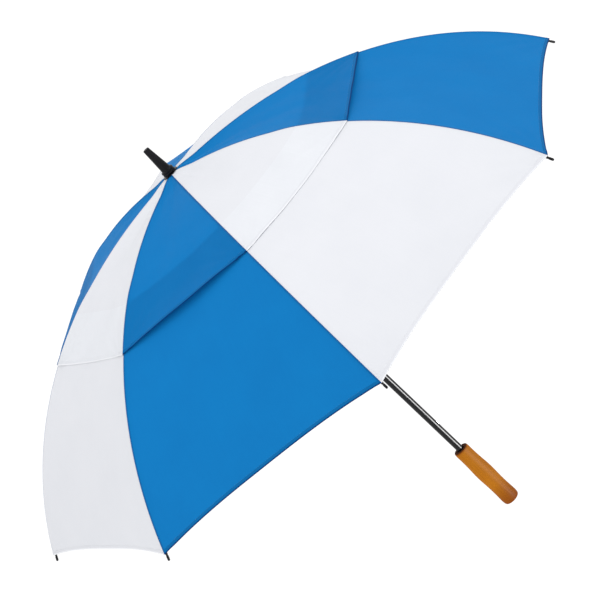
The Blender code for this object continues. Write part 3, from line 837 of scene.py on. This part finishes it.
def make_cloth_half(kind, rib, side):
    """Half a panel of one layer, from a rib to mid-panel, with its hem, seam and stitches."""
    layer = LAYERS[kind]
    rows = cloth_rows(layer)
    s = rows[:, 0]
    u = seam_columns(s)
    points, flat, edge = cloth_points(layer, rib, side, s[:, None], u, rows[:, 1][:, None])
    index = np.arange(u.size).reshape(u.shape)
    corners = [index[:-1, :-1], index[1:, :-1], index[1:, 1:], index[:-1, 1:]]
    faces = np.stack(corners, axis=-1).reshape(-1, 4)[:, ::side].tolist()
    cloth_faces = len(faces)
    all_points = [points.reshape(-1, 3)]
    total = u.size
    for line_s, line_u in stitch_lines(layer):
        sewn, threads = stitches(layer, rib, side, line_s, line_u)
        faces += [[total + i for i in face] for face in threads]
        all_points.append(sewn)
        total += len(sewn)
    blue = panel_of(rib, side) % 2 == 1
    name = f"{kind}_{rib + 1}_{'b' if side > 0 else 'a'}"
    mesh = bpy.data.meshes.new(name)
    mesh.from_pydata(np.vstack(all_points).tolist(), [], faces)
    mesh.materials.append(BLUE if blue else WHITE)
    mesh.materials.append(BLUE_THREAD if blue else WHITE_THREAD)
    is_thread = np.arange(len(faces)) >= cloth_faces
    mesh.polygons.foreach_set("material_index", is_thread.astype(np.int32))
    loops = np.empty(len(mesh.loops), np.int32)
    mesh.loops.foreach_get("vertex_index", loops)
    for uv_name, values in (("cloth", flat), ("edge", edge)):
        uv = np.zeros((total, 2))
        uv[: u.size] = values.reshape(-1, 2)
        uv_map = mesh.uv_layers.new(name=uv_name)
        uv_map.data.foreach_set("uv", uv[loops].astype(np.float32).ravel())
    mesh.shade_smooth()
    made = link(name, mesh)
    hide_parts(layer["node"])
    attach(made, f"{layer['body']}{rib + 1}")
    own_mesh(made)


# -------- hardware


def crown_slots(low, high):
    slot = ((CROWN_CORE, -CROWN_SLOT / 2, low), (2 * CROWN_RADIUS, CROWN_SLOT / 2, high))
    return [box_mesh(*slot, i * PITCH) for i in range(RIBS)]


def crown_profile(top, z, bottom):
    """A slotted ring's outside, with the groove at height z that holds its wire."""
    groove = PIVOT_RADIUS - GROOVE_HALF
    profile = [(CROWN_RADIUS, top), (CROWN_RADIUS, z + GROOVE_HALF), (groove, z + GROOVE_HALF)]
    profile += [(groove, z - GROOVE_HALF), (CROWN_RADIUS, z - GROOVE_HALF)]
    return [*profile, (CROWN_RADIUS, bottom)]


def wire_ring(name, z, body, nodes=()):
    turns = np.arange(12) * math.pi / 6
    ring = [(WIRE_RADIUS * math.cos(t), -WIRE_RADIUS * math.sin(t)) for t in turns]
    profile = [(PIVOT_RADIUS + r, z + h) for r, h in ring]
    mesh = turned_mesh(name, profile, 96, STEEL, closed=True)
    place(name, mesh, body, "bright_steel", nodes)


def stop_pin(radius, half):
    """A pin across the shaft at the runner stop, in line with the catches."""
    pin = pin_mesh(radius, half, STEEL)
    pin.transform(Matrix.Rotation(CATCH_TURN, 4, "Z"))
    pin.transform(Matrix.Translation((0, 0, sum(heights("runner_stop")) / 2)))
    return pin


def make_shaft():
    low, high = heights("shaft")
    inner = SHAFT_RADIUS - SHAFT_WALL
    profile = [(SHAFT_RADIUS, high), (SHAFT_RADIUS, low), (inner, low), (inner, high)]
    mesh = turned_mesh("shaft_tube", profile, 96, ENAMEL, closed=True)
    cutters = []
    for node in CATCHES:
        foot, top = heights(node)
        near = (0, -CATCH_SLOT_HALF, foot - MM)
        far = (2 * SHAFT_RADIUS, CATCH_SLOT_HALF, top + 3 * MM)
        cutters.append(box_mesh(near, far, CATCH_TURN))
    cutters.append(stop_pin(STOP_RADIUS + GAP, 2 * SHAFT_RADIUS))
    mesh = joined("shaft_tube", mesh, cutters, "DIFFERENCE")
    place("shaft_tube", mesh, "root", "shaft_enamel", ["shaft"])
    pin = stop_pin(STOP_RADIUS, SHAFT_RADIUS + 1.8 * MM)
    place("stop_pin", pin, "root", "bright_steel", ["runner_stop"])


def make_handle():
    """Turned wood with a soft swell, a bevelled top edge and a counterbore for the shaft."""
    top = heights("handle")[1]
    swell = [(15.6, 138), (15.5, 122), (16.0, 104), (16.9, 88), (17.1, 74), (16.6, 58)]
    swell += [(16.2, 42), (16.4, 26), (16.9, 12), (16.6, 6)]
    rim = top - 1.2 * MM
    profile = [(0, BORE_END), (BORE_RADIUS, BORE_END), (BORE_RADIUS, rim)]
    profile += [(8.6 * MM, top), (14.0 * MM, top), (15.1 * MM, rim)]
    profile += curved(in_mm(swell), 5)
    profile += in_mm([(15.9, 2.6), (14.6, 1.0), (12.6, 0), (0, 0)])
    mesh = turned_mesh("handle_grip", filleted(profile, 0.9 * MM, 4), 96, WOOD)
    mesh.materials.append(END_GRAIN)
    for face in mesh.polygons:
        z = face.center.z
        inside = math.hypot(*face.center.xy) < BORE_RADIUS + 1.9 * MM and z > BORE_END - 4 * MM
        on_end = face.normal.z > 0.8 and z > top - 0.5 * MM
        face.material_index = 1 if inside or on_end else 0
    place("handle_grip", mesh, "root", "handle_wood", ["handle"])


def make_ferrule():
    """A spike on a grooved collar, and the washer under it."""
    low, high = heights("ferrule")
    socket = low + 21.3 * MM
    profile = in_mm([(0, 0), (4.2, 0), (5.8, -0.5), (6.1, -1.6)], high)
    profile += in_mm([(9.3, 11), (9.6, 9.8), (11.4, 9), (12.5, 7.8)], low)
    profile += in_mm([(12.5, 4.6), (12.0, 4.2), (12.0, 3.6), (12.5, 3.2)], low)
    profile += in_mm([(12.5, 0.8), (11.7, 0)], low)
    profile += [(BORE_RADIUS, low), (BORE_RADIUS, socket), (0, socket)]
    mesh = turned_mesh("ferrule_cap", filleted(profile, 0.7 * MM), 80, PLASTIC)
    place("ferrule_cap", mesh, "root", "black_plastic", ["ferrule"])

    low, high = heights("top_washer")
    profile = [(WASHER_RADIUS, high - 0.3 * MM), (WASHER_RADIUS, low), (BORE_RADIUS, low)]
    profile += [(BORE_RADIUS, high), (WASHER_RADIUS - 0.8 * MM, high)]
    mesh = turned_mesh("washer_disc", filleted(profile, 0.25 * MM, 2, True), 80, PLASTIC, True)
    place("washer_disc", mesh, "root", "black_plastic", ["top_washer"])


def make_notch():
    z = NOTCH_PIVOT[1]
    top, bottom = z + NOTCH_ABOVE, z - NOTCH_BELOW
    profile = crown_profile(top, z, bottom)
    profile += [(BORE_RADIUS, bottom), (BORE_RADIUS, top)]
    mesh = turned_mesh("notch_crown", filleted(profile, 0.5 * MM, 3, True), 96, PLASTIC, True)
    mesh = joined("notch_crown", mesh, crown_slots(bottom - MM, top + MM), "DIFFERENCE")
    place("notch_crown", mesh, "root", "black_plastic", ["top_notch"])
    wire_ring("notch_ring", z, "root", ["notch_wire"])


def make_runner():
    """The slotted crown, a sleeve with grip rings, a lip, and a keyway past the catches."""
    bottom, top = heights("runner")
    z = RUNNER_PIVOT[1]
    crown_low = z - RUNNER_CROWN_DEPTH
    profile = crown_profile(top, z, crown_low)
    profile += [(RUNNER_SLEEVE, crown_low - 5 * MM)]
    ring = RUNNER_SLEEVE - GRIP_DEPTH
    for i in range(GRIP_RINGS):
        at = bottom + 27 * MM - i * GRIP_PITCH
        profile += [(RUNNER_SLEEVE, at), (ring, at - 0.5 * MM)]
        profile += [(ring, at - 1.5 * MM), (RUNNER_SLEEVE, at - 2 * MM)]
    profile += [(RUNNER_SLEEVE, bottom + 6 * MM), (RUNNER_LIP, bottom + 4 * MM)]
    profile += [(RUNNER_LIP, bottom), (BORE_RADIUS, bottom), (BORE_RADIUS, top)]
    mesh = turned_mesh("runner_slider", filleted(profile, 0.5 * MM, 3, True), 96, PLASTIC, True)
    near = (0, -KEYWAY_WIDTH / 2, bottom - MM)
    keyway = box_mesh(near, (KEYWAY_DEPTH, KEYWAY_WIDTH / 2, top + MM), CATCH_TURN)
    cutters = [*crown_slots(crown_low - 8 * MM, top + MM), keyway]
    mesh = joined("runner_slider", mesh, cutters, "DIFFERENCE")
    place("runner_slider", mesh, "runner", "black_plastic", ["runner"])
    wire_ring("runner_ring", z, "runner")


def moved(points, origin):
    return [(x - origin[0], z - origin[1]) for x, z in points]


def rod_path(start, end, count, origin):
    return moved([rod_line(s) for s in np.linspace(start, end, count)], origin)


def rod_mesh(name, start, end, count, origin):
    """A rod between two stations, with its ends a little rounded off."""
    radii = np.full(count, ROD_RADIUS)
    radii[[0, -1]] -= 0.3 * MM
    return swept_mesh(name, rod_path(start, end, count, origin), radii, 20, ROD)


def make_ribs():
    """Each rib: an inner rod from the notch with an eyed end fitting, and an outer rod that
    runs on from the bracket to the tip."""
    first = PIVOT_RADIUS + 3 * MM
    inner = rod_mesh("rib_inner_rod", first, SLEEVE_END - 1.5 * MM, 46, NOTCH_PIVOT)
    path = rod_path(PIVOT_RADIUS + MM, 32 * MM, 6, NOTCH_PIVOT)
    sleeve = swept_mesh("rib_end", path, [1.5 * MM] + [1.95 * MM] * 4 + [1.8 * MM], 20, PLASTIC)
    eye = pin_mesh(2.4 * MM, 1.9 * MM, PLASTIC)
    hole = pin_mesh(GROOVE_HALF, CUT_HALF, PLASTIC)
    fitting = joined("rib_end", joined("rib_end", sleeve, [eye]), [hole], "DIFFERENCE")
    on_ribs("rib_inner_rod", inner, "rib", "rib_fibreglass", NOTCH_PIVOT, node="rib_inner")
    on_ribs("rib_eye", fitting, "rib", "black_plastic", NOTCH_PIVOT)

    last = RIB_LENGTH - 1.5 * MM
    outer = rod_mesh("rib_outer_rod", FLEX_STATION + 7 * MM, last, 48, FLEX_PIVOT)
    path = rod_path(FLEX_STATION + 3 * MM, FLEX_STATION + 16 * MM, 5, FLEX_PIVOT)
    socket = swept_mesh("rib_knuckle", path, [1.6 * MM] + [2.0 * MM] * 3 + [1.9 * MM], 20, PLASTIC)
    angle = slope(FLEX_STATION)
    ahead = (5 * MM * math.cos(angle), -5 * MM * math.sin(angle))
    tongue = capsule((0, 0), ahead, 1.9 * MM)
    tongue = plate_mesh("tongue", tongue, -TONGUE_HALF, TONGUE_HALF, PLASTIC, EDGE)
    hole = pin_mesh(PIN_HOLE, CUT_HALF, PLASTIC)
    knuckle = joined("rib_knuckle", joined("rib_knuckle", socket, [tongue]), [hole], "DIFFERENCE")
    on_ribs("rib_outer_rod", outer, "rib_end", "rib_fibreglass", FLEX_PIVOT, node="rib_outer")
    on_ribs("rib_knuckle", knuckle, "rib_end", "black_plastic", FLEX_PIVOT)


def make_rib_joints():
    """The bracket on each rib, with ears and riveted pins for the strut and the outer rod.
    It is made level about the flex pivot, then tilted to the rib."""
    angle = slope(FLEX_STATION)
    turn = np.array([[math.cos(angle), -math.sin(angle)], [math.sin(angle), math.cos(angle)]])
    level = [turn @ p for p in rod_path(SLEEVE_START, SLEEVE_END, 3, FLEX_PIVOT)]
    strut_at = tuple(turn @ moved([STRUT_PIVOT], FLEX_PIVOT)[0])
    path = [tuple(level[0] + (level[1] - level[0]) * t) for t in (0, 0.08, 0.5, 0.56, 0.62, 1)]
    path += [tuple(level[1] + (level[2] - level[1]) * t) for t in (0.92, 1)]
    radii = np.full(8, SLEEVE_RADIUS)
    radii[[0, 3, 7]] -= (0.4 * MM, 0.25 * MM, 0.3 * MM)
    mesh = swept_mesh("bracket", path, radii, 28, PLASTIC)
    parts = []
    for side in (-1, 1):
        low, high = sorted((side * EAR_GAP_HALF, side * EAR_HALF))
        down = capsule(strut_at, (strut_at[0], -0.5 * MM), 2.5 * MM)
        out = capsule((SLEEVE_END - FLEX_STATION - 2 * MM, 0), (0, 0), 2.4 * MM)
        parts += [plate_mesh("ear", ear, low, high, PLASTIC, EDGE) for ear in (down, out)]
    mesh = joined("bracket", mesh, parts)
    pins = [pin_mesh(PIN_RADIUS, EAR_HALF, STEEL, at, RIVET_HEAD) for at in (strut_at, (0, 0))]
    rivets = joined("rivets", pins[0], pins[1:])
    on_ribs("bracket", mesh, "rib", "black_plastic", FLEX_PIVOT, angle, "rib_joint")
    on_ribs("bracket_rivets", rivets, "rib", "bright_steel", FLEX_PIVOT, angle)


def make_struts():
    """Struts folded from steel strip: a channel open below, flattened to an eye at each end."""
    run = (STRUT_PIVOT[0] - RUNNER_PIVOT[0], STRUT_PIVOT[1] - RUNNER_PIVOT[1])
    length = math.hypot(*run)
    top, low, half, wall = 1.6 * MM, -1.6 * MM, 2 * MM, 0.7 * MM
    section = [(-half, low), (-half, top), (half, top), (half, low), (half - wall, low)]
    section += [(half - wall, top - wall), (wall - half, top - wall), (wall - half, low)]
    section = filleted(section, 0.6 * MM, 3, True)
    body = plate_mesh("strut_channel", section, 9 * MM, length - 9 * MM, STRUT_ENAMEL)
    body.transform(Matrix(((0, -1, 0, 0), (1, 0, 0, 0), (0, 0, 1, 0), (0, 0, 0, 1))))
    parts, holes = [], []
    for x, inward in ((0.0, -1), (-length, 1)):
        outline = capsule((x, 0), (x + inward * 16 * MM, 0), 1.5 * MM)
        parts.append(plate_mesh("eye", outline, -TONGUE_HALF, TONGUE_HALF, STRUT_ENAMEL))
        parts.append(pin_mesh(EYE_RADIUS, TONGUE_HALF, STRUT_ENAMEL, (x, 0)))
        holes.append(pin_mesh(PIN_HOLE, CUT_HALF, STRUT_ENAMEL, (x, 0)))
    mesh = joined("strut_channel", joined("strut_channel", body, parts), holes, "DIFFERENCE")
    tilt = -math.atan2(run[1], run[0])
    on_ribs("strut_channel", mesh, "strut", "strut_enamel", STRUT_PIVOT, tilt, "strut")


def make_tips():
    """Rib tips with a collar, a waist where the fabric's corner is sewn on, and a round end."""
    profile = [(0, 12.0), (1.0, 11.9), (1.8, 11.3), (2.3, 9.8), (2.3, 3.2), (1.9, 2.6), (1.9, 1.2)]
    profile += [(2.3, 0.6), (2.3, -9.4), (2.1, -10), (1.9, -10), (1.9, -1), (0, -1)]
    mesh = turned_mesh("rib_tip_cap", filleted(in_mm(profile), 0.5 * MM), 32, PLASTIC)
    point, tilt = rod_line(RIB_LENGTH), math.pi / 2 + HEM_SLOPE
    on_ribs("rib_tip_cap", mesh, "rib_end", "black_plastic", point, tilt, "rib_tip")


def make_ties():
    """Thread loops that tie the seams of both canopies to the rods."""
    ring = in_mm([(2.0, 0.35), (2.25, 0), (2.0, -0.35), (1.75, 0)])
    loop = turned_mesh("tie", filleted(ring, 0.2 * MM, 2, True), 24, WHITE_THREAD, closed=True)
    loop.transform(Matrix.Rotation(math.pi / 2, 4, "Y"))
    tail = swept_mesh("tie", [(0, 1.8 * MM), (0, 4.3 * MM)], [0.4 * MM] * 2, 8, WHITE_THREAD)
    mesh = joined("tie", loop, [tail])
    for rib in range(RIBS):
        for body, places in TIE_STATIONS.items():
            for i, s in enumerate(places):
                name = f"tie_{body}{rib + 1}_{i + 1}"
                where = dict(rib=rib, point=rod_line(s * MM), tilt=slope(s * MM))
                place(name, mesh, f"{body}{rib + 1}", "white_fabric", **where)


# -------- studio

# The umbrella hangs well clear of the floor, which keeps its shadow faint and out of view.
FLOOR_DROP = 1.2
FLOOR_HALF = 40.0

# The camera looks from the front, slightly above, and is rolled to the left. Angles are in
# degrees, and an azimuth runs from the front towards +X.
CAMERA_AZIMUTH = 0.921
CAMERA_ELEVATION = 16.769
CAMERA_ROLL = -46.459
CAMERA_DISTANCE = 5.18836
CAMERA_LENS_MM = 171.59
CAMERA_TARGET_Z = 0.56831
CAMERA_SIDESTEP = -4.667 * MM


def towards(azimuth, elevation):
    a, e = math.radians(azimuth), math.radians(elevation)
    return Vector((math.sin(a) * math.cos(e), -math.cos(a) * math.cos(e), math.sin(e)))


def make_camera():
    back = towards(CAMERA_AZIMUTH, CAMERA_ELEVATION)
    right = (-back).cross(Vector((0, 0, 1))).normalized()
    up = right.cross(-back)
    roll = math.radians(CAMERA_ROLL)
    cos, sin = math.cos(roll), math.sin(roll)
    turned = Matrix((right * cos + up * sin, up * cos - right * sin, back)).transposed()
    target = Vector((0, 0, CAMERA_TARGET_Z)) + right * CAMERA_SIDESTEP
    camera = link("camera", bpy.data.cameras.new("camera"))
    camera.data.sensor_width = 36
    camera.data.lens = CAMERA_LENS_MM
    camera.data.clip_end = 100
    camera.matrix_world = Matrix.Translation(target + back * CAMERA_DISTANCE) @ turned.to_4x4()
    bpy.context.scene.camera = camera


def area_light(name, azimuth, elevation, distance, size, power, aim=(0, 0, 0.55)):
    """A soft panel light that the camera can't see."""
    data = bpy.data.lights.new(name, "AREA")
    data.shape = "RECTANGLE"
    data.size, data.size_y = size
    data.energy = power
    light = link(name, data)
    away = towards(azimuth, elevation)
    light.location = Vector(aim) + away * distance
    light.rotation_euler = away.to_track_quat("Z", "Y").to_euler()
    light.visible_camera = False
    return light


def make_studio():
    corners = [(-FLOOR_HALF, -FLOOR_HALF, 0), (FLOOR_HALF, -FLOOR_HALF, 0)]
    corners += [(FLOOR_HALF, FLOOR_HALF, 0), (-FLOOR_HALF, FLOOR_HALF, 0)]
    mesh = bpy.data.meshes.new("floor")
    mesh.from_pydata(corners, [], [(0, 1, 2, 3)])
    mesh.materials.append(pale_floor())
    floor = link("floor", mesh)
    floor.location.z = CAD_BOX[0].z - FLOOR_DROP
    world = bpy.data.worlds.new("studio")
    world.use_nodes = True
    sky = world.node_tree.nodes["Background"]
    sky.inputs["Color"].default_value = (1, 1, 1, 1)
    sky.inputs["Strength"].default_value = 1.0
    bpy.context.scene.world = world
    area_light("key", 60, 44, 4.0, (1.6, 1.6), 42)
    area_light("left_fill", -45, 30, 4.5, (2.5, 2.5), 34)
    # A card that only glossy surfaces mirror, for the line of light down the shaft
    card = area_light("card", 43, -16.8, 2.6, (1.3, 1.4), 210, (0, 0, 0.25))
    card.visible_diffuse = False
    bpy.context.scene.view_settings.view_transform = "Standard"


for kind in LAYERS:
    for rib in range(RIBS):
        for side in (-1, 1):
            make_cloth_half(kind, rib, side)
make_shaft()
make_handle()
make_ferrule()
make_notch()
make_runner()
make_ribs()
make_rib_joints()
make_struts()
make_tips()
make_ties()
for name in CATCHES:
    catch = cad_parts[name]
    catch.data.materials.clear()
    catch.data.materials.append(STEEL)
make_camera()
make_studio()
